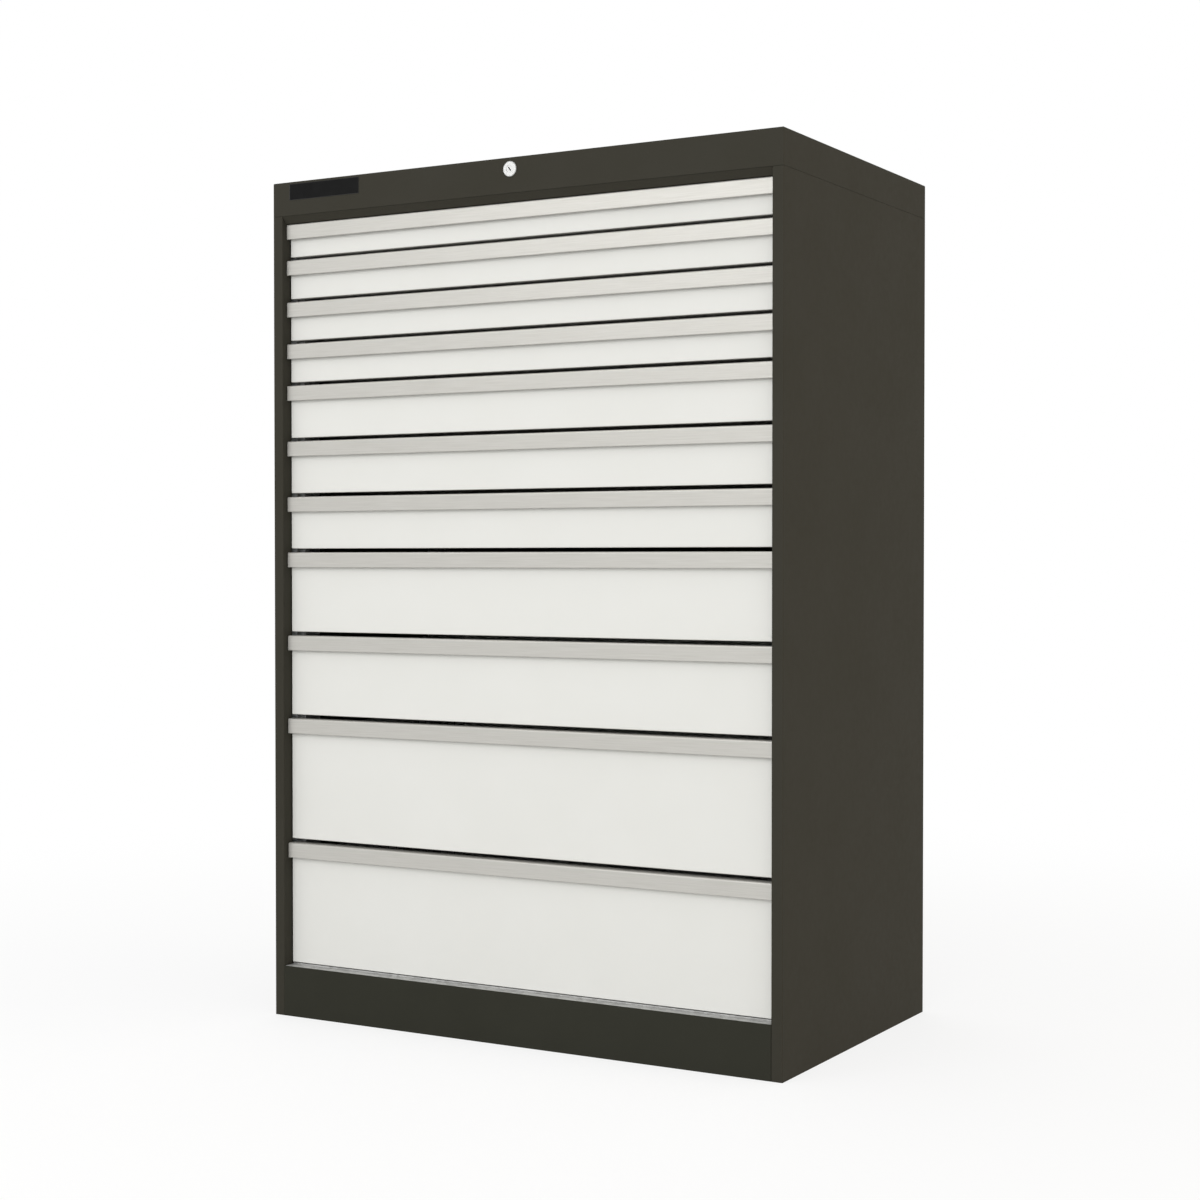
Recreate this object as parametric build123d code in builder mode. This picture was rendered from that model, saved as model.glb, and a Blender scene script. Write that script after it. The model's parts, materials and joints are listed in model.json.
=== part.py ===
from build123d import *
from math import sqrt
import os

# Drawer cabinet: a folded sheet-steel body on a plinth, eleven full-width drawers on three-member
# telescopic runners, aluminium handle extrusions and one central lock.
# Millimetres. +Z is up, the drawers open towards -Y, and the origin lies on the floor under the
# middle of the body.

# Body
body_width = 1010
body_depth = 605
plinth_height = 90
header_height = 60
stile_width = 20
stile_return = 25
rear_return = 25
shell_sheet = 1.5
bend_radius = 2
seam_gap = 0.4
cap_overlap = 35
header_return = 31
plinth_flange = 25
anchor_hole_radius = 5.5
anchor_spacing = 850
floor_flange = 15

# Drawer pitches, from the top drawer down
shallow_pitch = 75
low_pitch = 100
medium_pitch = 150
deep_pitch = 225
drawer_pitches = [shallow_pitch] * 4 + [low_pitch] * 3 + [medium_pitch] * 2 + [deep_pitch] * 2

# Drawer fronts
front_side_gap = 2
front_setback = 22
front_rise = 3.8
front_sheet = 1.2

# Handle extrusion
handle_setback = 11
handle_depth = 25
handle_height = 25.5
handle_wall = 1.8
handle_drop = 4.6
top_handle_drop = 15
handle_corner = 1.2
grip_bead = 3.2
finger_drop = 22
leg_gap = 1.5

# Drawer trays
tray_inner_depth = 500
tray_sheet = 1
tray_rise = 8
tray_headroom = 17
tray_hem = 5

# Telescopic runners
drawer_travel = 500
runner_height = 38
runner_sheet = 2
channel_depth = 14
channel_gap = 6
runner_setback = 4
runner_tail = 30
beam_side_play = 0.7
beam_height_play = 0.5
roller_play = 0.3
roller_inset = 18
roller_sides = 16

# Runner posts on the side panels
post_width = 40
post_flange = 12
front_post_setback = 66
rear_post_inset = 70

# Header rail under the cap
rail_setback = 26.5
rail_drop = 11
rail_depth = 11.5
rail_rise = 44
rail_end_cut = 45

# Lock
lock_drop = 20
lock_proud = 3
lock_flange_radius = 13
lock_flange_chamfer = 1
lock_barrel_radius = 11
lock_barrel_length = 22
lock_plug_radius = 6.45
lock_plug_play = 0.05
lock_plug_recess = 0.4
lock_plug_tail = 2
key_slot_width = 1.8
key_slot_height = 8
key_slot_depth = 14
key_slot_angle = 35
nut_flats = 27
nut_thickness = 5
nut_play = 0.1
cam_thickness = 2.5
cam_width = 14
pin_radius = 2.5
pin_play = 0.5
tenon_size = 6
tenon_play = 0.1

# Locking rod and locking bar
lock_throw = 10
rod_height = 28
rod_thickness = 3
rod_gap = 0.3
rod_end_margin = 6
bar_thickness = 3
bar_width = 22
bar_gap = 0.3
bar_head = 9
bar_foot = 10
lug_margin = 4
tab_height = 8
tab_lift = 4
tab_catch = 7
stud_height = 6
stud_width = 6
stud_length = 15
stud_gap = 2

# Places worked out from the sizes
half_width = body_width / 2
front_y = -body_depth / 2
rear_y = body_depth / 2
opening_half = half_width - stile_width
opening_top = plinth_height + sum(drawer_pitches)
body_height = opening_top + header_height
skin_inside = half_width - shell_sheet

divisions = [opening_top - sum(drawer_pitches[: n + 1]) for n in range(len(drawer_pitches))]
handle_tops = [z + p - handle_drop for z, p in zip(divisions, drawer_pitches)]
handle_tops[0] = opening_top - top_handle_drop

front_half = opening_half - front_side_gap
face_y = front_y + front_setback
handle_front = front_y + handle_setback
handle_back = handle_front + handle_depth
tray_half = opening_half - 2 * channel_depth - channel_gap
tray_inner_width = 2 * (tray_half - tray_sheet)
tray_front = handle_back + front_sheet
tray_back = tray_front + tray_inner_depth + tray_sheet

runner_front = tray_front + runner_setback
channel_inner = runner_height - 2 * runner_sheet
beam_height = channel_inner - 2 * beam_height_play
beam_outer = opening_half - runner_sheet - beam_side_play
beam_inner = tray_half + runner_sheet + beam_side_play
runner_middle = (beam_outer + beam_inner) / 2
roller_radius = beam_height / 2 - runner_sheet - roller_play
roller_width = channel_depth - runner_sheet - 2 * roller_play
drawer_runner_length = tray_back - runner_front
cabinet_runner_length = drawer_travel + runner_tail
runner_bottoms = [z + tray_rise for z in divisions]
roller_heights = [z + runner_height / 2 for z in runner_bottoms]

lock_z = body_height - lock_drop
lock_face = front_y - lock_proud
barrel_back = front_y + lock_barrel_length
cam_front = barrel_back + lock_plug_tail
cam_back = cam_front + cam_thickness
cam_arm = lock_throw / sqrt(2)
lock_axis = Axis((0, 0, lock_z), (0, 1, 0))

rail_back = front_y + rail_setback + rail_depth
rod_back = rail_back - shell_sheet - rod_gap
rod_front = rod_back - rod_thickness
rod_z = lock_z - cam_arm
rod_left = -skin_inside + lock_throw + 2 * rod_gap
slot_radius = pin_radius + pin_play
bar_pin_x = rod_left + slot_radius + rod_end_margin
bar_pin_z = rod_z + lock_throw / 2
bar_outer = -(skin_inside - shell_sheet) + bar_gap
bar_front = rod_back + rod_gap
bar_back = bar_front + bar_width
stud_front = bar_back + stud_gap
stud_bottoms = [z + runner_height + tab_lift for z in runner_bottoms]
post_front = front_y + front_post_setback
post_top = opening_top - seam_gap - cap_overlap


def write(piece, name):
    """Labels a finished sub-part and writes it as its own file."""
    piece.part.label = name
    export_step(piece.part, f"parts/{name}.step")


def side_panel():
    """Right side: one folded sheet with the front stile, its inner return, a rear return, a foot
    flange that meets the plinth and an upstand that the cap slides over."""
    top = opening_top - seam_gap
    with BuildPart() as panel:
        with BuildSketch(Plane.XY):
            with BuildLine():
                FilletPolyline(
                    (opening_half, front_y + stile_return),
                    (opening_half, front_y),
                    (half_width, front_y),
                    (half_width, rear_y),
                    (half_width - rear_return, rear_y),
                    radius=bend_radius,
                )
                offset(amount=shell_sheet, side=Side.LEFT)
            make_face()
        extrude(amount=top)
        with BuildSketch(Plane.XY):
            with Locations((opening_half, 0)):
                Rectangle(
                    skin_inside - opening_half,
                    body_depth - 4 * shell_sheet,
                    align=(Align.MIN, Align.CENTER),
                )
        extrude(amount=shell_sheet)
        upstand_front = post_front
        with BuildSketch(Plane.XY.offset(top - cap_overlap)):
            with Locations((skin_inside, upstand_front)):
                Rectangle(
                    shell_sheet,
                    rear_y - 2 * shell_sheet - upstand_front,
                    align=(Align.MAX, Align.MIN),
                )
        extrude(amount=2 * cap_overlap)
    return panel


os.makedirs("parts", exist_ok=True)

# Side panels
right_side = side_panel()
write(right_side, "right_side_panel")
with BuildPart() as left_side:
    add(right_side.part)
    mirror(about=Plane.YZ, mode=Mode.REPLACE)
write(left_side, "left_side_panel")

# Back panel: a flat sheet behind the runners, held by the rear returns and by the cap
with BuildPart() as back_panel:
    with BuildSketch(Plane.XZ.offset(-(rear_y - shell_sheet))):
        with Locations((0, shell_sheet)):
            Rectangle(
                2 * (skin_inside - shell_sheet),
                opening_top + cap_overlap - shell_sheet,
                align=(Align.CENTER, Align.MIN),
            )
    extrude(amount=shell_sheet)
write(back_panel, "back_panel")

# Top cap: an inverted folded tray whose front flange is the header, with a return under it
with BuildPart() as top_cap:
    with BuildSketch(Plane.XY.offset(opening_top)):
        RectangleRounded(body_width, body_depth, bend_radius)
    extrude(amount=header_height)
    fillet(top_cap.faces().sort_by(Axis.Z)[-1].edges(), radius=bend_radius)
    with BuildSketch(Plane.XY.offset(opening_top)):
        Rectangle(body_width - 2 * shell_sheet, body_depth - 2 * shell_sheet)
    extrude(amount=header_height - shell_sheet, mode=Mode.SUBTRACT)
    with BuildSketch(Plane.XY.offset(opening_top)):
        with Locations((0, front_y + shell_sheet)):
            Rectangle(2 * opening_half, header_return, align=(Align.CENTER, Align.MIN))
    extrude(amount=shell_sheet)
    with BuildSketch(Plane.XZ.offset(-front_y)):
        with Locations((0, lock_z)):
            Circle(lock_barrel_radius + nut_play)
    extrude(amount=-2 * shell_sheet, mode=Mode.SUBTRACT)
write(top_cap, "top_cap")

# Header rail: closes the gap above the top drawer and guides the locking rod
with BuildPart() as header_rail:
    rail_front = front_y + rail_setback
    with BuildSketch(Plane.YZ):
        with BuildLine():
            Polyline(
                (rail_front, opening_top),
                (rail_front, opening_top - rail_drop),
                (rail_back, opening_top - rail_drop),
                (rail_back, opening_top + rail_rise),
            )
            offset(amount=shell_sheet, side=Side.LEFT, kind=Kind.INTERSECTION)
        make_face()
    extrude(amount=opening_half, both=True)
    with BuildSketch(Plane.XZ.offset(-rail_back - shell_sheet)):
        with Locations((-opening_half, opening_top)):
            Rectangle(rail_end_cut, rail_rise, align=(Align.MIN, Align.MIN))
        with Locations((opening_half, opening_top)):
            Rectangle(rail_end_cut, rail_rise, align=(Align.MAX, Align.MIN))
    extrude(amount=3 * shell_sheet, mode=Mode.SUBTRACT)
write(header_rail, "header_rail")

# Plinth: a welded frame between the side panels with a flange that stands on the floor and has
# four holes for floor anchors
with BuildPart() as base_plinth:
    plinth_depth = body_depth - 2 * shell_sheet
    with BuildSketch(Plane.XY):
        with Locations((0, front_y)):
            Rectangle(2 * opening_half, plinth_depth, align=(Align.CENTER, Align.MIN))
        with Locations((0, front_y + shell_sheet)):
            Rectangle(
                2 * (opening_half - shell_sheet),
                plinth_depth - 2 * shell_sheet,
                align=(Align.CENTER, Align.MIN),
                mode=Mode.SUBTRACT,
            )
    extrude(amount=plinth_height)
    with BuildSketch(Plane.XY):
        with Locations((0, front_y + shell_sheet)):
            Rectangle(
                2 * (opening_half - shell_sheet),
                plinth_depth - 2 * shell_sheet,
                align=(Align.CENTER, Align.MIN),
            )
        with Locations((0, front_y + shell_sheet + plinth_flange)):
            Rectangle(
                2 * (opening_half - shell_sheet - plinth_flange),
                plinth_depth - 2 * shell_sheet - 2 * plinth_flange,
                align=(Align.CENTER, Align.MIN),
                mode=Mode.SUBTRACT,
            )
    extrude(amount=shell_sheet)
    with BuildSketch(Plane.XY):
        with Locations((0, front_y + plinth_depth / 2)):
            with GridLocations(
                anchor_spacing, plinth_depth - 2 * shell_sheet - plinth_flange, 2, 2
            ):
                Circle(anchor_hole_radius)
    extrude(amount=shell_sheet, mode=Mode.SUBTRACT)
write(base_plinth, "base_plinth")

# Floor panel: a shallow inverted tray let into the top of the plinth
with BuildPart() as floor_panel:
    floor_half = opening_half - shell_sheet
    floor_depth = body_depth - 4 * shell_sheet
    with BuildSketch(Plane.XY.offset(plinth_height - floor_flange)):
        with Locations((0, front_y + shell_sheet)):
            Rectangle(2 * floor_half, floor_depth, align=(Align.CENTER, Align.MIN))
    extrude(amount=floor_flange)
    with BuildSketch(Plane.XY.offset(plinth_height - floor_flange)):
        with Locations((0, front_y + 2 * shell_sheet)):
            Rectangle(
                2 * (floor_half - shell_sheet),
                floor_depth - 2 * shell_sheet,
                align=(Align.CENTER, Align.MIN),
            )
    extrude(amount=floor_flange - shell_sheet, mode=Mode.SUBTRACT)
write(floor_panel, "floor_panel")

# Runner posts: four hat sections welded to the side panels, front and rear
with BuildPart() as runner_posts:
    for start in (post_front, rear_y - rear_post_inset - post_width):
        with BuildSketch(Plane.XY.offset(plinth_height)):
            with BuildLine():
                Polyline(
                    (skin_inside, start - post_flange),
                    (skin_inside, start),
                    (opening_half + shell_sheet, start),
                    (opening_half + shell_sheet, start + post_width),
                    (skin_inside, start + post_width),
                    (skin_inside, start + post_width + post_flange),
                )
                offset(amount=shell_sheet, side=Side.LEFT, kind=Kind.INTERSECTION)
            make_face()
        extrude(amount=post_top - plinth_height)
    mirror(about=Plane.YZ)
write(runner_posts, "runner_posts")

# Cabinet runners: a channel on the posts for each end of each drawer, open towards the drawer
with BuildPart() as cabinet_runners:
    with BuildSketch(Plane.XZ.offset(-runner_front - cabinet_runner_length)):
        with Locations(*[(opening_half, z) for z in runner_bottoms]):
            Rectangle(channel_depth, runner_height, align=(Align.MAX, Align.MIN))
        with Locations(*[(opening_half - runner_sheet, z + runner_sheet) for z in runner_bottoms]):
            Rectangle(
                channel_depth - runner_sheet,
                channel_inner,
                align=(Align.MAX, Align.MIN),
                mode=Mode.SUBTRACT,
            )
    extrude(amount=cabinet_runner_length)
    mirror(about=Plane.YZ)
write(cabinet_runners, "cabinet_runners")

# Cabinet rollers: one at the front of each cabinet runner, between the beam's flanges, drawn with
# sixteen flats because there are so many of them
with BuildPart() as cabinet_rollers:
    with BuildSketch(Plane.YZ.offset(opening_half - runner_sheet - roller_play)):
        with Locations(*[(runner_front + roller_inset, z) for z in roller_heights]):
            RegularPolygon(roller_radius, roller_sides)
    extrude(amount=-roller_width)
    mirror(about=Plane.YZ)
write(cabinet_rollers, "cabinet_rollers")


def drawer_tray(division, pitch, handle_top):
    """Tray and front pan, welded into one piece. The pan is folded backwards below the handle to
    make the shelf of the finger recess."""
    pan_bottom = division + front_rise
    shelf = handle_top - finger_drop
    tray_floor = division + tray_rise
    tray_top = division + pitch - tray_headroom
    with BuildPart() as tray:
        with BuildSketch(Plane.YZ):
            with BuildLine():
                Polyline(
                    (handle_back, pan_bottom),
                    (face_y, pan_bottom),
                    (face_y, shelf),
                    (handle_back, shelf),
                )
                offset(amount=front_sheet, side=Side.RIGHT, kind=Kind.INTERSECTION)
            make_face()
        extrude(amount=front_half, both=True)
        with BuildSketch(Plane.YZ.offset(front_half - front_sheet)):
            with Locations((face_y, pan_bottom)):
                Rectangle(handle_back - face_y, shelf - pan_bottom, align=(Align.MIN, Align.MIN))
        extrude(amount=front_sheet)
        mirror(about=Plane.YZ)
        with BuildSketch(Plane.XZ.offset(-tray_front)):
            with Locations((0, pan_bottom)):
                Rectangle(
                    2 * front_half,
                    handle_top - handle_wall - pan_bottom,
                    align=(Align.CENTER, Align.MIN),
                )
        extrude(amount=front_sheet)
        with BuildSketch(Plane.XY.offset(tray_floor)):
            with Locations((0, tray_front)):
                Rectangle(2 * tray_half, tray_back - tray_front, align=(Align.CENTER, Align.MIN))
        extrude(amount=tray_top - tray_floor)
        with BuildSketch(Plane.XY.offset(tray_top - tray_sheet)):
            with Locations((0, tray_front)):
                Rectangle(
                    2 * (tray_half + tray_hem),
                    tray_back - tray_front + tray_hem,
                    align=(Align.CENTER, Align.MIN),
                )
        extrude(amount=tray_sheet)
        with BuildSketch(Plane.XY.offset(tray_floor + tray_sheet)):
            with Locations((0, tray_front)):
                Rectangle(tray_inner_width, tray_inner_depth, align=(Align.CENTER, Align.MIN))
        extrude(amount=pitch, mode=Mode.SUBTRACT)
    return tray


def drawer_handle(handle_top):
    """Full-width aluminium extrusion: a plain face with a grip bead behind its lower edge, a top
    plate and a leg that is riveted to the tray's front wall."""
    lip_back = handle_front + handle_wall
    lip_bottom = handle_top - handle_height
    with BuildPart() as handle:
        with BuildSketch(Plane.YZ) as section:
            with BuildLine():
                Polyline(
                    (handle_front, handle_top),
                    (handle_back, handle_top),
                    (handle_back, handle_top - finger_drop + leg_gap),
                    (handle_back - handle_wall, handle_top - finger_drop + leg_gap),
                    (handle_back - handle_wall, handle_top - handle_wall),
                    (lip_back, handle_top - handle_wall),
                    (lip_back, lip_bottom + grip_bead),
                    (handle_front + grip_bead, lip_bottom + grip_bead / 2),
                    (handle_front + grip_bead, lip_bottom),
                    (handle_front, lip_bottom),
                    close=True,
                )
            make_face()
            fillet(section.vertices().group_by(Axis.X)[0], radius=handle_corner)
        extrude(amount=front_half, both=True)
    return handle


def drawer_runners(bottom, stud_bottom):
    """Pair of drawer runners: channels welded to the tray walls, open towards the cabinet, each
    with a roller at its rear end. The lock stud stands on the left wall above its runner."""
    with BuildPart() as runners:
        with BuildSketch(Plane.XZ.offset(-tray_back)):
            with Locations((tray_half, bottom)):
                Rectangle(channel_depth, runner_height, align=(Align.MIN, Align.MIN))
            with Locations((tray_half + runner_sheet, bottom + runner_sheet)):
                Rectangle(
                    channel_depth - runner_sheet,
                    channel_inner,
                    align=(Align.MIN, Align.MIN),
                    mode=Mode.SUBTRACT,
                )
        extrude(amount=drawer_runner_length)
        with BuildSketch(Plane.YZ.offset(tray_half + runner_sheet + roller_play)):
            with Locations((tray_back - roller_inset, bottom + runner_height / 2)):
                RegularPolygon(roller_radius, roller_sides)
        extrude(amount=roller_width)
        mirror(about=Plane.YZ)
        with BuildSketch(Plane.YZ.offset(-tray_half)):
            with Locations((stud_front, stud_bottom)):
                Rectangle(stud_width, stud_height, align=(Align.MIN, Align.MIN))
        extrude(amount=-stud_length)
    return runners


def mid_runners(bottom):
    """Pair of middle members: beams whose flanges reach into the cabinet and the drawer runner."""
    beam_bottom = bottom + runner_sheet + beam_height_play
    flange_reach = (beam_outer - beam_inner - runner_sheet) / 2
    with BuildPart() as beams:
        with BuildSketch(Plane.XZ.offset(-tray_back)):
            with Locations((runner_middle, beam_bottom)):
                Rectangle(beam_outer - beam_inner, beam_height, align=(Align.CENTER, Align.MIN))
            with Locations(
                (beam_inner, beam_bottom + runner_sheet),
                (beam_outer - flange_reach, beam_bottom + runner_sheet),
            ):
                Rectangle(
                    flange_reach,
                    beam_height - 2 * runner_sheet,
                    align=(Align.MIN, Align.MIN),
                    mode=Mode.SUBTRACT,
                )
        extrude(amount=drawer_runner_length)
        mirror(about=Plane.YZ)
    return beams


# Drawers, numbered from the top down
for index, (division, pitch) in enumerate(zip(divisions, drawer_pitches)):
    name = f"drawer_{index + 1:02d}"
    write(drawer_tray(division, pitch, handle_tops[index]), f"{name}_tray")
    write(drawer_handle(handle_tops[index]), f"{name}_handle")
    write(drawer_runners(runner_bottoms[index], stud_bottoms[index]), f"{name}_runners")
    write(mid_runners(runner_bottoms[index]), f"{name}_mid_runners")

# Lock housing: turned barrel with a chamfered flange that stands proud of the header
with BuildPart() as lock_housing:
    bore_radius = lock_plug_radius + lock_plug_play
    with BuildSketch(Plane.YZ):
        with BuildLine():
            Polyline(
                (lock_face, lock_z + bore_radius),
                (lock_face, lock_z + lock_flange_radius - lock_flange_chamfer),
                (lock_face + lock_flange_chamfer, lock_z + lock_flange_radius),
                (front_y, lock_z + lock_flange_radius),
                (front_y, lock_z + lock_barrel_radius),
                (barrel_back, lock_z + lock_barrel_radius),
                (barrel_back, lock_z + bore_radius),
                close=True,
            )
        make_face()
    revolve(axis=lock_axis)
write(lock_housing, "lock_housing")

# Lock nut: clamps the barrel from inside the header
with BuildPart() as lock_nut:
    with BuildSketch(Plane.XZ.offset(-front_y - shell_sheet)):
        with Locations((0, lock_z)):
            RegularPolygon(nut_flats / 2, 6, major_radius=False)
            Circle(lock_barrel_radius + nut_play, mode=Mode.SUBTRACT)
    extrude(amount=-nut_thickness)
write(lock_nut, "lock_nut")

# Lock plug: turns in the housing; its key slot leans as the photographed one does
with BuildPart() as lock_plug:
    plug_face = lock_face + lock_plug_recess
    with BuildSketch(Plane.XZ.offset(-plug_face)):
        with Locations((0, lock_z)):
            Circle(lock_plug_radius)
    extrude(amount=-(cam_front - plug_face))
    with BuildSketch(Plane.XZ.offset(-plug_face)):
        with Locations((0, lock_z)):
            Rectangle(key_slot_width, key_slot_height, rotation=key_slot_angle)
    extrude(amount=-key_slot_depth, mode=Mode.SUBTRACT)
    with BuildSketch(Plane.XZ.offset(-cam_front)):
        with Locations((0, lock_z)):
            Rectangle(tenon_size, tenon_size)
    extrude(amount=-cam_thickness)
write(lock_plug, "lock_plug")

# Lock cam: lever on the plug's square tenon, with a pin that moves the locking rod
pin_x = lock_throw / 2
pin_z = lock_z - lock_throw / 2
with BuildPart() as lock_cam:
    with BuildSketch(Plane.XZ.offset(-cam_front)):
        with Locations((pin_x / 2, (lock_z + pin_z) / 2)):
            SlotCenterToCenter(cam_arm, cam_width, rotation=-45)
        with Locations((0, lock_z)):
            Rectangle(
                tenon_size + 2 * tenon_play, tenon_size + 2 * tenon_play, mode=Mode.SUBTRACT
            )
    extrude(amount=-cam_thickness)
    with BuildSketch(Plane.XZ.offset(-cam_back)):
        with Locations((pin_x, pin_z)):
            Circle(pin_radius)
    extrude(amount=-(rod_back - cam_back))
write(lock_cam, "lock_cam")

# Locking rod: flat bar behind the header. The cam's pin moves it sideways in an upright slot, and
# its sloping slot drives the locking bar down
with BuildPart() as lock_rod:
    rod_right = pin_x + slot_radius + rod_end_margin
    with BuildSketch(Plane.XZ.offset(-rod_front)):
        with Locations((rod_left, rod_z)):
            Rectangle(rod_right - rod_left, rod_height, align=(Align.MIN, Align.CENTER))
        with Locations((pin_x, (rod_z + pin_z) / 2)):
            SlotCenterToCenter(pin_z - rod_z, 2 * slot_radius, rotation=90, mode=Mode.SUBTRACT)
        with Locations((bar_pin_x + lock_throw / 2, bar_pin_z - lock_throw / 2)):
            SlotCenterToCenter(
                lock_throw * sqrt(2), 2 * slot_radius, rotation=-45, mode=Mode.SUBTRACT
            )
    extrude(amount=-rod_thickness)
write(lock_rod, "lock_rod")

# Locking bar: upright strip beside the left runners, with a lug at its head that carries the pin
# and a tab riveted on over each drawer's stud
bar_top = bar_pin_z + bar_head
bar_bottom = stud_bottoms[-1] + lock_throw - bar_foot
bar_inner = bar_outer + bar_thickness
with BuildPart() as lock_bar:
    with BuildSketch(Plane.XY.offset(bar_bottom)):
        with Locations((bar_outer, bar_front)):
            Rectangle(bar_thickness, bar_width, align=(Align.MIN, Align.MIN))
    extrude(amount=bar_top - bar_bottom)
    with BuildSketch(Plane.XZ.offset(-bar_front)):
        with Locations((bar_outer, bar_pin_z)):
            Rectangle(
                bar_pin_x + pin_radius + lug_margin - bar_outer,
                2 * bar_head,
                align=(Align.MIN, Align.CENTER),
            )
    extrude(amount=-bar_thickness)
    with BuildSketch(Plane.XZ.offset(-bar_front)):
        with Locations((bar_pin_x, bar_pin_z)):
            Circle(pin_radius)
    extrude(amount=bar_front - rod_front)
with BuildPart() as bar_tabs:
    with BuildSketch(Plane.XZ.offset(-bar_back)):
        with Locations(*[(bar_inner, z + lock_throw) for z in stud_bottoms]):
            Rectangle(
                -(tray_half + stud_length - tab_catch) - bar_inner,
                tab_height,
                align=(Align.MIN, Align.MIN),
            )
    extrude(amount=bar_thickness)
lock_bar.part = Compound(children=[*lock_bar.part.solids(), *bar_tabs.part.solids()])
write(lock_bar, "lock_bar")
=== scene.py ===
import json
from math import cos, pi, radians, sin, tan

import bmesh
import bpy
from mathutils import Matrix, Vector

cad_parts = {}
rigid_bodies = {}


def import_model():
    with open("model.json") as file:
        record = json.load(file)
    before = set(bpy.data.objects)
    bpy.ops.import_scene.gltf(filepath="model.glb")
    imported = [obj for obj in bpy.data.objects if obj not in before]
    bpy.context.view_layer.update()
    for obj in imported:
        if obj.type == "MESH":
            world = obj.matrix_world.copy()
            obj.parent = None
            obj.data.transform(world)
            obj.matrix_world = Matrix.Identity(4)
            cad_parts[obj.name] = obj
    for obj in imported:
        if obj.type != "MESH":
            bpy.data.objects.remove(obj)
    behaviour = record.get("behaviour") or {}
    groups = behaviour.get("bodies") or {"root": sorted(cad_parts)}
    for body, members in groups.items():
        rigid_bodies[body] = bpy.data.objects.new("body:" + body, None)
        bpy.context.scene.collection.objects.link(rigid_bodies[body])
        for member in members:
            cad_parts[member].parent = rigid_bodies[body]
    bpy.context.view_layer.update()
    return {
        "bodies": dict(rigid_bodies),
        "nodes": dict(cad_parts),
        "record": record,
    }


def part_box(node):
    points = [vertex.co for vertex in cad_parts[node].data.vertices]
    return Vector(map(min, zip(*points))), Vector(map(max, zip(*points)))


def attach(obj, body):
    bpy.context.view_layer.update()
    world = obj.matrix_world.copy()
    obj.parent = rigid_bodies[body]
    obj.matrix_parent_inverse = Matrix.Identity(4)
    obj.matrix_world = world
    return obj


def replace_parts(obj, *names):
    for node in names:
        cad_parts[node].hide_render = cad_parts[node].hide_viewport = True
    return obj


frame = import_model()

# Plinth. A welded frame of 1.5 mm steel sheet stands on the floor and carries the whole body. It is
# powder-coated with a fine orange-peel skin, in a grey set a little darker than the body's as
# painted shade for the dimmer light near the floor.
plinth_painted_shade_grey = (0.0355, 0.0355, 0.0275, 1)
plinth_painted_shade_grey_pale = (0.0385, 0.0385, 0.0300, 1)
powder_rough = 0.42
powder_gloss = 0.012
powder_cloud = 7
powder_sheen = 90
powder_sheen_spread = 0.08
powder_peel = 520
powder_peel_rise = 0.00004
edge_ease = 0.0005
noise_middle = (0.3, 0.7)


def new_finish(name):
    """A material with its node tree and its one shader."""
    finish = bpy.data.materials.new(name)
    finish.use_nodes = True
    return finish, finish.node_tree, finish.node_tree.nodes["Principled BSDF"]


def grain(tree, scale, detail=2, stretch=(1, 1, 1)):
    """Noise that stays on the piece: scale is in features per metre."""
    place = tree.nodes.new("ShaderNodeTexCoord")
    fit = tree.nodes.new("ShaderNodeMapping")
    noise = tree.nodes.new("ShaderNodeTexNoise")
    fit.inputs["Scale"].default_value = [scale * each for each in stretch]
    noise.inputs["Scale"].default_value = 1
    noise.inputs["Detail"].default_value = detail
    tree.links.new(place.outputs["Object"], fit.inputs["Vector"])
    tree.links.new(fit.outputs["Vector"], noise.inputs["Vector"])
    return noise.outputs["Fac"]


def vary(tree, source, target, low, high):
    """Spreads a texture's middle range over a socket, from low to high."""
    spread = tree.nodes.new("ShaderNodeMapRange")
    spread.inputs["From Min"].default_value = noise_middle[0]
    spread.inputs["From Max"].default_value = noise_middle[1]
    spread.inputs["To Min"].default_value = low
    spread.inputs["To Max"].default_value = high
    tree.links.new(source, spread.inputs["Value"])
    tree.links.new(spread.outputs["Result"], target)


def tint(tree, source, target, dark, light):
    """Blends two close shades of a finish over a colour socket."""
    ramp = tree.nodes.new("ShaderNodeValToRGB")
    for stop, position, shade in zip(ramp.color_ramp.elements, noise_middle, (dark, light)):
        stop.position = position
        stop.color = shade
    tree.links.new(source, ramp.inputs["Fac"])
    tree.links.new(ramp.outputs["Color"], target)


def relief(tree, source, shader, height):
    """Raises a texture by its height in metres over edges that the finish rounds off."""
    bump = tree.nodes.new("ShaderNodeBump")
    bump.inputs["Distance"].default_value = height
    eased = tree.nodes.new("ShaderNodeBevel")
    eased.samples = 4
    eased.inputs["Radius"].default_value = edge_ease
    tree.links.new(source, bump.inputs["Height"])
    tree.links.new(eased.outputs["Normal"], bump.inputs["Normal"])
    tree.links.new(bump.outputs["Normal"], shader.inputs["Normal"])


def powder_coat(name, shade, worn_shade, roughness):
    """Baked powder: a faint cloud in the colour, and an orange-peel skin of about 2 mm ripples."""
    finish, tree, shader = new_finish(name)
    shader.inputs["Specular IOR Level"].default_value = powder_gloss
    tint(tree, grain(tree, powder_cloud, detail=4), shader.inputs["Base Color"], shade, worn_shade)
    vary(tree, grain(tree, powder_sheen, detail=3), shader.inputs["Roughness"], roughness,
         roughness + powder_sheen_spread)
    relief(tree, grain(tree, powder_peel, detail=1), shader, powder_peel_rise)
    return finish


def finish_node(node, finish):
    """Gives a CAD piece its finish and leaves its shape and place alone."""
    for part in frame["nodes"][node].material_slots:
        part.material = finish


# The plinth's two greys are the body's powder with painted shade: both are darker for the dimmer
# light near the floor.
plinth_powder = powder_coat("plinth_powder", plinth_painted_shade_grey, plinth_painted_shade_grey_pale, powder_rough)
finish_node("base_plinth", plinth_powder)

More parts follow.
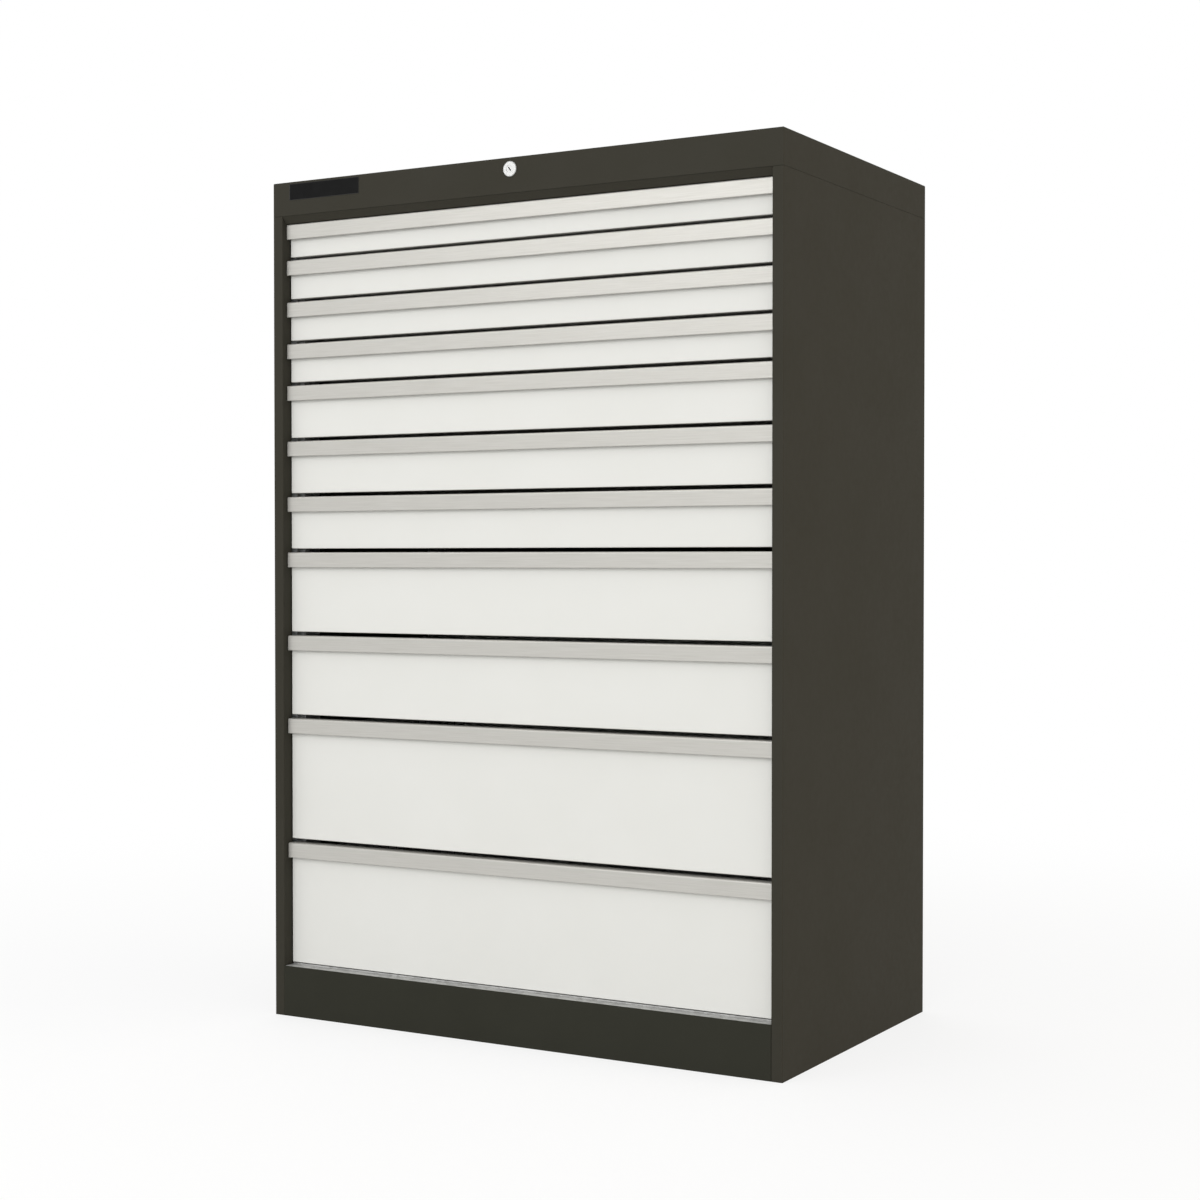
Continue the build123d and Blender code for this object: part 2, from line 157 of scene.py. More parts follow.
# Floor panel. A shallow tray of zinc-coated sheet is let into the top of the plinth, and its front
# edge shows as a light strip under the lowest drawer. The zinc has its spangle and no paint.
zinc_dark = (0.44, 0.44, 0.43, 1)
zinc_light = (0.55, 0.55, 0.54, 1)
zinc_metal = 0.6
zinc_rough = (0.38, 0.52)
zinc_ripple = 300
zinc_ripple_rise = 0.00002
floor_spangle = 110


def zinc_coat(name, spangle):
    """Hot-dip zinc: metal grains of different shades, spangle of them to a metre."""
    finish, tree, shader = new_finish(name)
    shader.inputs["Metallic"].default_value = zinc_metal
    place = tree.nodes.new("ShaderNodeTexCoord")
    crystals = tree.nodes.new("ShaderNodeTexVoronoi")
    crystals.inputs["Scale"].default_value = spangle
    tree.links.new(place.outputs["Object"], crystals.inputs["Vector"])
    grey = tree.nodes.new("ShaderNodeRGBToBW")
    tree.links.new(crystals.outputs["Color"], grey.inputs["Color"])
    tint(tree, grey.outputs["Val"], shader.inputs["Base Color"], zinc_dark, zinc_light)
    vary(tree, grey.outputs["Val"], shader.inputs["Roughness"], *zinc_rough)
    relief(tree, grain(tree, zinc_ripple), shader, zinc_ripple_rise)
    return finish


floor_zinc = zinc_coat("floor_zinc", floor_spangle)
finish_node("floor_panel", floor_zinc)

# Side panels. Each is one folded steel sheet with the front stile, its inner return and a rear
# return. The warm grey powder is baked on after folding, so the bends carry the same skin.
body_grey = (0.0460, 0.0433, 0.0338, 1)
body_grey_worn = (0.0490, 0.0463, 0.0372, 1)
body_powder = powder_coat("body_powder", body_grey, body_grey_worn, powder_rough)
for side in ("left_side_panel", "right_side_panel"):
    finish_node(side, body_powder)

# Back panel. A flat steel sheet lies inside the rear returns of the side panels and the cap's rear
# flange. It is spot-welded to them from the inside and coated over, so no fixing shows.
finish_node("back_panel", body_powder)

# Dust lip. A strip of the same zinc-coated sheet is spot-welded to the floor panel, just behind the
# lowest drawer's front, and fills most of the gap under it.
lip_rise = 0.0026
lip_sheet = 0.0010
lip_length = 0.962
lip_ease = 0.0003
lip_clear = 0.0004
floor_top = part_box("floor_panel")[1].z
lip_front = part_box("drawer_11_tray")[0].y + lip_clear


def rounded(outline, radii, steps=3):
    """Eases each corner of a closed outline with a small curve. radii is one radius, or one for
    each corner."""
    eased = []
    if not isinstance(radii, list):
        radii = [radii] * len(outline)
    for number, corner in enumerate(outline):
        corner = Vector(corner)
        before = Vector(outline[number - 1]) - corner
        after = Vector(outline[(number + 1) % len(outline)]) - corner
        reach = radii[number] / tan(before.angle(after) / 2)
        start = corner + before.normalized() * reach
        end = corner + after.normalized() * reach
        for step in range(steps + 1):
            share = step / steps
            eased.append(
                (1 - share) ** 2 * start + 2 * share * (1 - share) * corner + share * share * end
            )
    return eased


def plate(mesh, outline, place, thickness):
    """Raises an outline into a plate. place turns its points into points in space."""
    face = mesh.faces.new([mesh.verts.new(place(point)) for point in outline])
    raised = bmesh.ops.extrude_face_region(mesh, geom=[face])["geom"]
    lifted = [each for each in raised if isinstance(each, bmesh.types.BMVert)]
    bmesh.ops.translate(mesh, verts=lifted, vec=thickness)


def new_piece(name, mesh, finish, crease=35):
    """Makes an object of a finished mesh, smooth except where faces meet at more than crease."""
    bmesh.ops.recalc_face_normals(mesh, faces=mesh.faces)
    data = bpy.data.meshes.new(name)
    mesh.to_mesh(data)
    mesh.free()
    data.shade_smooth()
    data.set_sharp_from_angle(angle=radians(crease))
    data.materials.append(finish)
    piece = bpy.data.objects.new(name, data)
    bpy.context.scene.collection.objects.link(piece)
    flats = piece.modifiers.new("flats", "WEIGHTED_NORMAL")
    flats.keep_sharp = True
    return piece


lip_outline = [
    (lip_front, floor_top), (lip_front, floor_top + lip_rise),
    (lip_front + lip_sheet, floor_top + lip_rise), (lip_front + lip_sheet, floor_top),
]
lip_mesh = bmesh.new()
plate(lip_mesh, rounded(lip_outline, lip_ease),
      lambda point: (-lip_length / 2, point.x, point.y), (lip_length, 0, 0))
lip = new_piece("floor_dust_lip", lip_mesh, floor_zinc)
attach(lip, "cabinet")

# Top cap and header rail. The cap is an inverted folded steel tray whose front is the header. The
# rail's face is a folded strip, welded on under the header. It leans back from the header's lower
# edge to the plane of the handles' faces and closes the gap over the top drawer.
handle_crown = 0.0014
rail_sheet = 0.0015
rail_bend = 0.0012
rail_ease = 0.0003
rail_clear = 0.0011
rail_seam = 0.0003
rail_gap = 0.0005
for node in ("top_cap", "header_rail"):
    finish_node(node, body_powder)
cap_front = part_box("top_cap")[0].y
rail_brow = cap_front + rail_seam
rail_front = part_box("drawer_01_handle")[0].y
rail_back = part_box("header_rail")[0].y
rail_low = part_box("drawer_01_handle")[1].z + handle_crown + rail_clear
rail_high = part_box("top_cap")[0].z - rail_seam
rail_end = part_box("header_rail")[1].x - rail_gap
rail_outline = [
    (rail_back, rail_low), (rail_front, rail_low), (rail_brow, rail_high),
    (rail_brow + 2 * rail_sheet, rail_high), (rail_front + rail_sheet, rail_low + rail_sheet),
    (rail_back, rail_low + rail_sheet),
]
rail_eases = [rail_ease] * len(rail_outline)
rail_eases[1] = rail_bend
rail_mesh = bmesh.new()
plate(rail_mesh, rounded(rail_outline, rail_eases, steps=6),
      lambda point: (-rail_end, point.x, point.y), (2 * rail_end, 0, 0))
rail_face = new_piece("header_rail_face", rail_mesh, body_powder)
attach(rail_face, "cabinet")

# Badge plate. A thin stamped aluminium plate is stuck on the left of the header. It stays blank: a
# black enamelled field, sunk a little inside a narrow dark rim.
badge_left, badge_right = -0.4676, -0.3150
badge_low, badge_high = 1.4670, 1.4960
badge_sheet = 0.0006
badge_field_depth = 0.0002
badge_rim = 0.0008
badge_corner = 0.0012
badge_rough = (0.30, 0.40)
rim_dark = (0.030, 0.030, 0.030, 1)
rim_light = (0.038, 0.038, 0.038, 1)
rim_cloud = 500
rim_sheen = 900
enamel_dark = (0.004, 0.004, 0.004, 1)
enamel_light = (0.006, 0.006, 0.006, 1)
enamel_gloss = 0.08
enamel_cloud = 60
enamel_sheen = 400
rim_metal, rim_tree, rim_shader = new_finish("badge_rim")
rim_shader.inputs["Metallic"].default_value = 1
tint(rim_tree, grain(rim_tree, rim_cloud), rim_shader.inputs["Base Color"], rim_dark, rim_light)
vary(rim_tree, grain(rim_tree, rim_sheen), rim_shader.inputs["Roughness"], *badge_rough)
badge_black, badge_tree, badge_shader = new_finish("badge_black")
badge_shader.inputs["Specular IOR Level"].default_value = enamel_gloss
tint(badge_tree, grain(badge_tree, enamel_cloud), badge_shader.inputs["Base Color"],
     enamel_dark, enamel_light)
vary(badge_tree, grain(badge_tree, enamel_sheen), badge_shader.inputs["Roughness"], *badge_rough)
badge_outline = [
    (badge_left, badge_low), (badge_right, badge_low),
    (badge_right, badge_high), (badge_left, badge_high),
]
badge_mesh = bmesh.new()
plate(badge_mesh, rounded(badge_outline, badge_corner),
      lambda point: (point.x, cap_front, point.y), (0, -badge_sheet, 0))
field = min(badge_mesh.faces, key=lambda face: face.calc_center_median().y)
bmesh.ops.inset_region(badge_mesh, faces=[field], thickness=badge_rim)
bmesh.ops.translate(badge_mesh, verts=field.verts, vec=(0, badge_field_depth, 0))
field.material_index = 1
badge = new_piece("badge_plate", badge_mesh, rim_metal)
badge.data.materials.append(badge_black)
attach(badge, "cabinet")

# Runner posts. Four hat sections of zinc-coated sheet are welded to the side panels, and a column
# of slots in each takes the hooks of the runners at any height.
post_sheet = 0.0015
post_width = 0.040
post_flange = 0.012
post_slot_pitch = 0.025
post_slot = (0.006, 0.014)
post_spangle = 160


def slot_run(start, end, pitch, width):
    """Places along a sheet with slots centred on it. A place is paired with True if a slot
    follows it."""
    count = int((end - start - width) // pitch) + 1
    first = (start + end - (count - 1) * pitch - width) / 2
    run = [(start, False)]
    for number in range(count):
        run.append((first + number * pitch, True))
        run.append((first + number * pitch + width, False))
    return run + [(end, False)]


def folded_sheet(mesh, profile, stations, sheet, place):
    """Sheet metal with its thickness on the left of a folded profile, swept through stations. A
    slot is cut where the profile point and the station are both marked True."""
    points = [Vector(point) for point, _ in profile]
    lefts = []
    for first, second in zip(points, points[1:]):
        along = (second - first).normalized()
        lefts.append(Vector((-along.y, along.x)))
    skins = [points, []]
    for point, before, after in zip(points, lefts[:1] + lefts, lefts + lefts[-1:]):
        skins[1].append(point + sheet * (before + after) / (1 + before.dot(after)))
    grids = [
        [[mesh.verts.new(place(point, station)) for point in skin] for station, _ in stations]
        for skin in skins
    ]
    columns, rows = len(profile) - 1, len(stations) - 1

    def solid(column, row):
        """Whether there is sheet in the square after this profile point and station."""
        inside = 0 <= column < columns and 0 <= row < rows
        return inside and not (profile[column][1] and stations[row][1])

    for row in range(rows + 1):
        for column in range(columns + 1):
            if solid(column, row):
                for grid in grids:
                    near, far = grid[row:row + 2]
                    mesh.faces.new((near[column], near[column + 1], far[column + 1], far[column]))
            lengthwise = ((column - 1, row), (column, row + 1))
            crosswise = ((column, row - 1), (column + 1, row))
            for behind, (end_column, end_row) in (lengthwise, crosswise):
                if solid(column, row) != solid(*behind):
                    mesh.faces.new((
                        grids[0][row][column], grids[0][end_row][end_column],
                        grids[1][end_row][end_column], grids[1][row][column],
                    ))


def unmarked(*points):
    """Profile points with no slot after them."""
    return [(point, False) for point in points]


def wall_run(fixed, run):
    """A slotted run upwards at a fixed distance out, as profile points."""
    return [((fixed, height), marked) for height, marked in run]


post_zinc = zinc_coat("post_zinc", post_spangle)
posts_low, posts_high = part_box("runner_posts")
post_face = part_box("cabinet_runners")[1].x + post_sheet
post_foot = posts_high.x
post_slots = slot_run(posts_low.z, posts_high.z, post_slot_pitch, post_slot[1])
post_mesh = bmesh.new()
for front in (posts_low.y + post_flange, posts_high.y - post_flange - post_width):
    back = front + post_width
    middle = (front + back) / 2
    hat = unmarked(
        (post_foot, front - post_flange), (post_foot, front), (post_face, front),
    ) + [((post_face, middle - post_slot[0] / 2), True)] + unmarked(
        (post_face, middle + post_slot[0] / 2), (post_face, back), (post_foot, back),
        (post_foot, back + post_flange),
    )
    for hand in (1, -1):
        folded_sheet(post_mesh, hat, post_slots, post_sheet,
                     lambda point, height: (hand * point.x, point.y, height))
posts = new_piece("slotted_posts", post_mesh, post_zinc)
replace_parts(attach(posts, "cabinet"), "runner_posts")

# Cabinet runners. A rolled zinc-plated channel hooks into the posts for each end of each drawer,
# open towards the drawer, with access slots along its web.
runner_height = 0.038
runner_sheet = 0.002
runner_bend = 0.0026
channel_depth = 0.014
access_slot = (0.022, 0.009)
access_pitch = 0.064
runner_dark = (0.50, 0.51, 0.52, 1)
runner_light = (0.60, 0.61, 0.61, 1)
runner_metal = 0.9
runner_rough = (0.28, 0.42)
runner_cloud = 30
roll_marks = 500
roll_mark_rise = 0.00002
along_runner = (1, 0.05, 1)


def bend(centre, radius, start, turn, steps=4):
    """Profile points round a bend, from a start angle through a turn in degrees."""
    points = []
    for step in range(steps + 1):
        angle = radians(start + turn * step / steps)
        points.append((centre[0] + radius * cos(angle), centre[1] + radius * sin(angle)))
    return unmarked(*points)


def channel(mouth, web, low, high, slots):
    """Profile of a rolled channel from its lower lip round the web to its upper lip. The web lies
    outboard of the mouth."""
    inside = web - runner_bend
    return (
        unmarked((mouth, low))
        + bend((inside, low + runner_bend), runner_bend, -90, 90)
        + wall_run(web, slots)
        + bend((inside, high - runner_bend), runner_bend, 0, 90)
        + unmarked((mouth, high))
    )


runner_zinc, runner_tree, runner_shader = new_finish("runner_zinc")
runner_shader.inputs["Metallic"].default_value = runner_metal
tint(runner_tree, grain(runner_tree, runner_cloud, detail=3), runner_shader.inputs["Base Color"],
     runner_dark, runner_light)
vary(runner_tree, grain(runner_tree, roll_marks, stretch=along_runner),
     runner_shader.inputs["Roughness"], *runner_rough)
relief(runner_tree, grain(runner_tree, roll_marks, stretch=along_runner), runner_shader,
       roll_mark_rise)

drawers = sorted(name for name in frame["bodies"] if name[-2:].isdigit())
runner_bottoms = [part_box(f"{drawer}_runners")[0].z for drawer in drawers]
channels_low, channels_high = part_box("cabinet_runners")
access_stations = slot_run(channels_low.y, channels_high.y, access_pitch, access_slot[0])


def web_slots(middle):
    """One row of access slots at a height in a web."""
    return [(middle - access_slot[1] / 2, True), (middle + access_slot[1] / 2, False)]


channel_mesh = bmesh.new()
for low in runner_bottoms:
    section = channel(channels_high.x - channel_depth, channels_high.x, low, low + runner_height,
                      web_slots(low + runner_height / 2))
    for hand in (1, -1):
        folded_sheet(channel_mesh, section, access_stations, runner_sheet,
                     lambda point, y: (hand * point.x, y, point.y))
channels = new_piece("cabinet_channels", channel_mesh, runner_zinc)
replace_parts(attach(channels, "cabinet"), "cabinet_runners")

# Runner rollers. A ball-bearing roller turns on a rivet at the front of each cabinet runner and at
# the rear of each drawer runner. Its tread is ground, and its sides are stepped in round the hub.
roller_radius = 0.0142
roller_width = 0.0114
roller_play = 0.0003
roller_inset = 0.018
roller_dark = (0.42, 0.42, 0.43, 1)
roller_light = (0.50, 0.50, 0.51, 1)
roller_rough = (0.18, 0.28)
roller_cloud = 900
roller_sheen = 1400
roller_side = [(0, 0), (0, 0.0046), (0.0009, 0.0058), (0.0009, 0.0108), (0, 0.0117), (0, 0.0134),
               (0.0008, roller_radius)]
roller_profile = roller_side + [(roller_width - reach, size) for reach, size in roller_side[::-1]]


def turned(mesh, profile, centre, direction, steps=40):
    """Turns a profile of (distance along the axis, radius) points about an axis into a closed
    skin."""
    along = Vector(direction).normalized()
    across = along.orthogonal().normalized()
    third = along.cross(across)
    rings = []
    for reach, radius in profile:
        middle = Vector(centre) + along * reach
        if radius == 0:
            rings.append([mesh.verts.new(middle)] * steps)
            continue
        ring = []
        for step in range(steps):
            turn = 2 * pi * step / steps
            ring.append(mesh.verts.new(middle + radius * (cos(turn) * across + sin(turn) * third)))
        rings.append(ring)
    for first, second in zip(rings, rings[1:]):
        for step in range(steps):
            after = (step + 1) % steps
            corners = (first[step], first[after], second[after], second[step])
            mesh.faces.new(list(dict.fromkeys(corners)))


roller_steel, roller_tree, roller_shader = new_finish("roller_steel")
roller_shader.inputs["Metallic"].default_value = 1
tint(roller_tree, grain(roller_tree, roller_cloud), roller_shader.inputs["Base Color"],
     roller_dark, roller_light)
vary(roller_tree, grain(roller_tree, roller_sheen), roller_shader.inputs["Roughness"],
     *roller_rough)
roller_mesh = bmesh.new()
for low in runner_bottoms:
    for hand in (1, -1):
        hub = (hand * (channels_high.x - runner_sheet - roller_play),
               channels_low.y + roller_inset, low + runner_height / 2)
        turned(roller_mesh, roller_profile, hub, (-hand, 0, 0))
rollers = new_piece("cabinet_roller_set", roller_mesh, roller_steel)
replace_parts(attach(rollers, "cabinet"), "cabinet_rollers")

# Middle members. Two rolled channels are spot-welded back to back into a beam, whose flanges reach
# into the cabinet runner and the drawer runner. The beam moves half as far as its drawer.
beam_play = 0.0007
for drawer in drawers:
    beam_low, beam_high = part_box(f"{drawer}_mid_runners")
    beam_stations = slot_run(beam_low.y, beam_high.y, access_pitch, access_slot[0])
    beam_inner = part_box(f"{drawer}_runners")[1].x - channel_depth + runner_sheet + beam_play
    beam_middle = (beam_high.x + beam_inner) / 2
    beam_slots = web_slots((beam_low.z + beam_high.z) / 2)
    beam_mesh = bmesh.new()
    for mouth in (beam_inner, beam_high.x):
        inward = 1 if mouth < beam_middle else -1
        section = channel(0, abs(beam_middle - mouth), beam_low.z, beam_high.z, beam_slots)
        for hand in (1, -1):
            folded_sheet(beam_mesh, section, beam_stations, runner_sheet,
                         lambda point, y: (hand * (mouth + inward * point.x), y, point.y))
    beams = new_piece(f"{drawer}_beams", beam_mesh, runner_zinc)
    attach(beams, f"{drawer}_mid")
    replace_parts(beams, f"{drawer}_mid_runners")

# Drawer runners. A channel is spot-welded to each tray wall, open towards the cabinet, with its
# roller at the rear. The square stud above the left one catches on the locking bar.
stud_size = 0.006
stud_length = 0.015
stud_gap = 0.002
stud_corner = 0.0006
stud_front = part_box("lock_bar")[1].y + stud_gap
for drawer, low in zip(drawers, runner_bottoms):
    runner_low, runner_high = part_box(f"{drawer}_runners")
    web = runner_high.x - channel_depth
    stations = slot_run(runner_low.y, runner_high.y, access_pitch, access_slot[0])
    section = channel(-runner_high.x, -web, low, low + runner_height,
                      web_slots(low + runner_height / 2))
    runner_mesh = bmesh.new()
    for hand in (1, -1):
        folded_sheet(runner_mesh, section, stations, runner_sheet,
                     lambda point, y: (hand * point.x, y, point.y))
    stud_low = runner_high.z - stud_size
    stud_outline = [
        (stud_front, stud_low), (stud_front + stud_size, stud_low),
        (stud_front + stud_size, runner_high.z), (stud_front, runner_high.z),
    ]
    plate(runner_mesh, rounded(stud_outline, stud_corner),
          lambda point: (-web, point.x, point.y), (-stud_length, 0, 0))
    runners = new_piece(f"{drawer}_channels", runner_mesh, runner_zinc)
    roller_mesh = bmesh.new()
    for hand in (1, -1):
        hub = (hand * (web + runner_sheet + roller_play), runner_high.y - roller_inset,
               low + runner_height / 2)
        turned(roller_mesh, roller_profile, hub, (hand, 0, 0))
    rollers = new_piece(f"{drawer}_rollers", roller_mesh, roller_steel)
    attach(runners, drawer)
    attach(rollers, drawer)
    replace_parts(runners, f"{drawer}_runners")
    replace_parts(rollers, f"{drawer}_runners")

# Drawer trays. The floor and side walls are one folded steel sheet, with the back wall spot-welded
# in. The walls are slotted every 25 mm for dividers, and their top edges are folded outwards.
tray_sheet = 0.001
tray_hem = 0.005
tray_bend = 0.002
hem_bend = 0.0008
tray_foot = 0.010
divider_slot = (0.0024, 0.022)
divider_pitch = 0.025
divider_row = 0.030
divider_edge = 0.006
plain_band = 0.080
tall_wall = 0.120
room_clear = 0.001
drawer_white = (0.792, 0.792, 0.759, 1)
drawer_white_worn = (0.806, 0.806, 0.776, 1)
drawer_rough = 0.38
drawer_powder = powder_coat("drawer_powder", drawer_white, drawer_white_worn, drawer_rough)
rooms = {each["name"]: each["box_m"] for each in frame["record"]["physics"]["openings"]}


def tray_wall(out, floor, top, plain=0):
    """Slotted wall of a tray from its foot bend up to the folded edge, as profile points. plain is
    the height of the band without slots under the folded edge."""
    rim = top - tray_sheet - hem_bend
    slots = slot_run(floor + tray_bend, rim - plain, divider_row, divider_slot[1])
    return wall_run(out, slots) + bend((out + hem_bend, rim), hem_bend, 180, -90) + unmarked(
        (out + tray_hem, top - tray_sheet)
    )


def mirrored(profile):
    """Adds the left half to a profile that starts on the centre line."""
    left = []
    for (point, marked), (after, _) in zip(profile, profile[1:]):
        left.append(((-after[0], after[1]), marked))
    return left[::-1] + profile


for drawer in drawers:
    (left, near, low), (right, far, high) = rooms[f"{drawer}_interior"]
    wall_out = right + room_clear + tray_sheet
    back_out = far + room_clear + tray_sheet
    tray_front = near - room_clear
    tray_floor = low - room_clear - tray_sheet
    tray_top = high + room_clear
    foot = bend((wall_out - tray_bend, tray_floor + tray_bend), tray_bend, -90, 90)[:-1]
    half = unmarked((0, tray_floor)) + foot + tray_wall(wall_out, tray_floor, tray_top)
    tray_mesh = bmesh.new()
    folded_sheet(
        tray_mesh, mirrored(half),
        slot_run(tray_front, back_out - tray_sheet, divider_pitch, divider_slot[0]), tray_sheet,
        lambda point, y: (point.x, y, point.y),
    )
    heel = tray_floor + tray_sheet
    back_foot = bend((back_out - tray_bend, heel + tray_bend), tray_bend, -90, 90)[:-1]
    back_wall = unmarked((back_out - tray_foot, heel)) + back_foot
    plain = plain_band if tray_top - heel > tall_wall else 0
    folded_sheet(
        tray_mesh, back_wall + tray_wall(back_out, heel, tray_top, plain),
        slot_run(-wall_out + tray_sheet, wall_out - tray_sheet, divider_pitch, divider_slot[0]),
        tray_sheet, lambda point, x: (x, point.x, point.y),
    )
    tray = new_piece(f"{drawer}_slotted_tray", tray_mesh, drawer_powder)
    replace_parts(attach(tray, drawer), f"{drawer}_tray")

# Drawer fronts. A pan of 1.2 mm steel sheet, its bends rounded, is welded to the slotted inner
# front. Its upper edge folds back under the handle and makes the shelf of the finger recess.
front_sheet = 0.0012
front_bend = 0.0016
finger_drop = 0.022
for drawer in drawers:
    (left, near, low), (right, far, high) = rooms[f"{drawer}_interior"]
    front_low, front_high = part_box(f"{drawer}_tray")
    tray_front = near - room_clear
    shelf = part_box(f"{drawer}_handle")[1].z - finger_drop
    pan_mesh = bmesh.new()
    pan_low = Vector(front_low)
    pan_high = Vector((front_high.x, tray_front - front_sheet, shelf))
    bmesh.ops.create_cube(pan_mesh, size=1)
    for corner in pan_mesh.verts:
        share = corner.co + Vector((0.5, 0.5, 0.5))
        corner.co = pan_low + share * (pan_high - pan_low)
    back = max(pan_mesh.faces, key=lambda face: face.calc_center_median().y)
    bmesh.ops.delete(pan_mesh, geom=[back], context="FACES_ONLY")
    bends = [edge for edge in pan_mesh.edges if len(edge.link_faces) == 2]
    bmesh.ops.bevel(pan_mesh, geom=bends, offset=front_bend, segments=4, profile=0.5,
                    affect="EDGES")
    pan = new_piece(f"{drawer}_front_pan", pan_mesh, drawer_powder, crease=50)
    pan_sheet = pan.modifiers.new("sheet", "SOLIDIFY")
    pan_sheet.thickness = front_sheet
    pan_sheet.offset = -1
    pan_sheet.use_even_offset = True
    inner_mesh = bmesh.new()
    row = slot_run(low + divider_edge, min(high, shelf) - divider_edge, divider_row,
                   divider_slot[1])
    upright = unmarked((tray_front, front_low.z)) + wall_run(tray_front, row) + unmarked(
        (tray_front, front_high.z)
    )
    columns = slot_run(left, right, divider_pitch, divider_slot[0])
    columns = [(front_low.x, False)] + columns + [(front_high.x, False)]
    folded_sheet(inner_mesh, upright, columns, front_sheet,
                 lambda point, x: (x, point.x, point.y))
    inner = new_piece(f"{drawer}_inner_front", inner_mesh, drawer_powder)
    for piece in (pan, inner):
        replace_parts(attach(piece, drawer), f"{drawer}_tray")

# Handles. One aluminium extrusion runs the full width of each front: a plain face, a grip bead
# along its lower edge, a top plate and a leg. Blind rivets hold the leg to the inner front.
handle_wall = 0.0018
grip_bead = 0.0032
leg_gap = 0.0015
handle_ease = 0.0004
handle_corner = 0.0032
lip_corner = 0.0012
handle_rivets = 6
handle_rivet_span = 0.860
handle_rivet_drop = 0.010
satin_dark = (0.495, 0.485, 0.450, 1)
satin_light = (0.555, 0.545, 0.512, 1)
satin_metal = 0.5
satin_rough = (0.36, 0.44)
satin_streaks = 700
satin_sheen = 900
die_lines = 1500
die_line_rise = 0.00001
along_handle = (0.02, 1, 1)
satin, satin_tree, satin_shader = new_finish("satin_aluminium")
satin_shader.inputs["Metallic"].default_value = satin_metal
tint(satin_tree, grain(satin_tree, satin_streaks, stretch=along_handle),
     satin_shader.inputs["Base Color"], satin_dark, satin_light)
vary(satin_tree, grain(satin_tree, satin_sheen, stretch=along_handle),
     satin_shader.inputs["Roughness"], *satin_rough)
relief(satin_tree, grain(satin_tree, die_lines, detail=1, stretch=along_handle), satin_shader,
       die_line_rise)
blind_rivet = [(0, 0), (0, 0.0045), (0.0007, 0.0041), (0.0013, 0.0026), (0.0014, 0.0014),
               (0.0008, 0.0013), (0.0008, 0)]
for drawer in drawers:
    handle_low, handle_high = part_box(f"{drawer}_handle")
    front, back = handle_low.y, handle_high.y
    top, lip = handle_high.z, handle_low.z
    crown, under = top + handle_crown, top + handle_crown - handle_wall
    outline = [
        (front, crown), (back, crown), (back, top - finger_drop + leg_gap),
        (back - handle_wall, top - finger_drop + leg_gap), (back - handle_wall, under),
        (front + handle_wall, under), (front + handle_wall, lip + grip_bead),
        (front + grip_bead, lip + grip_bead / 2), (front + grip_bead, lip), (front, lip),
    ]
    eases = [handle_ease] * len(outline)
    eases[0], eases[5], eases[-1] = handle_corner, handle_corner - handle_wall, lip_corner
    handle_mesh = bmesh.new()
    plate(handle_mesh, rounded(outline, eases, steps=8),
          lambda point: (handle_low.x, point.x, point.y), (handle_high.x - handle_low.x, 0, 0))
    handle = new_piece(f"{drawer}_grip", handle_mesh, satin)
    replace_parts(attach(handle, drawer), f"{drawer}_handle")
    rivet_mesh = bmesh.new()
    inner_face = back + front_sheet
    for number in range(handle_rivets):
        rivet_place = handle_rivet_span * (number / (handle_rivets - 1) - 0.5)
        turned(rivet_mesh, blind_rivet, (rivet_place, inner_face, top - handle_rivet_drop),
               (0, 1, 0), steps=20)
    rivets = new_piece(f"{drawer}_handle_rivets", rivet_mesh, satin)
    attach(rivets, drawer)

# Lock. The barrel and its plug are turned brass, nickel-plated, with the fine rings of the tool
# round their axis. The nut, the cam, the rod and the locking bar behind are zinc-plated steel.
nickel_dark = (0.47, 0.47, 0.465, 1)
nickel_light = (0.56, 0.56, 0.55, 1)
nickel_metal = 0.9
nickel_rough = (0.36, 0.46)
nickel_sheen = 2000
turned_rings = 4000
turned_ring_rise = 0.00002
lock_low, lock_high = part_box("lock_housing")
lock_middle = (lock_low + lock_high) / 2
nickel, nickel_tree, nickel_shader = new_finish("satin_nickel")
nickel_shader.inputs["Metallic"].default_value = nickel_metal
lock_place = nickel_tree.nodes.new("ShaderNodeTexCoord")
lock_offset = nickel_tree.nodes.new("ShaderNodeMapping")
lock_offset.inputs["Location"].default_value = (-lock_middle.x, 0, -lock_middle.z)
lock_offset.inputs["Scale"].default_value = (1, 0, 1)
lock_reach = nickel_tree.nodes.new("ShaderNodeVectorMath")
lock_reach.operation = "LENGTH"
lock_rings = nickel_tree.nodes.new("ShaderNodeTexNoise")
lock_rings.noise_dimensions = "1D"
lock_rings.inputs["Scale"].default_value = turned_rings
nickel_tree.links.new(lock_place.outputs["Object"], lock_offset.inputs["Vector"])
nickel_tree.links.new(lock_offset.outputs["Vector"], lock_reach.inputs[0])
nickel_tree.links.new(lock_reach.outputs["Value"], lock_rings.inputs["W"])
tint(nickel_tree, lock_rings.outputs["Fac"], nickel_shader.inputs["Base Color"],
     nickel_dark, nickel_light)
vary(nickel_tree, grain(nickel_tree, nickel_sheen), nickel_shader.inputs["Roughness"],
     *nickel_rough)
relief(nickel_tree, lock_rings.outputs["Fac"], nickel_shader, turned_ring_rise)
for node in ("lock_housing", "lock_plug"):
    finish_node(node, nickel)
for node in ("lock_nut", "lock_cam", "lock_rod", "lock_bar"):
    finish_node(node, runner_zinc)

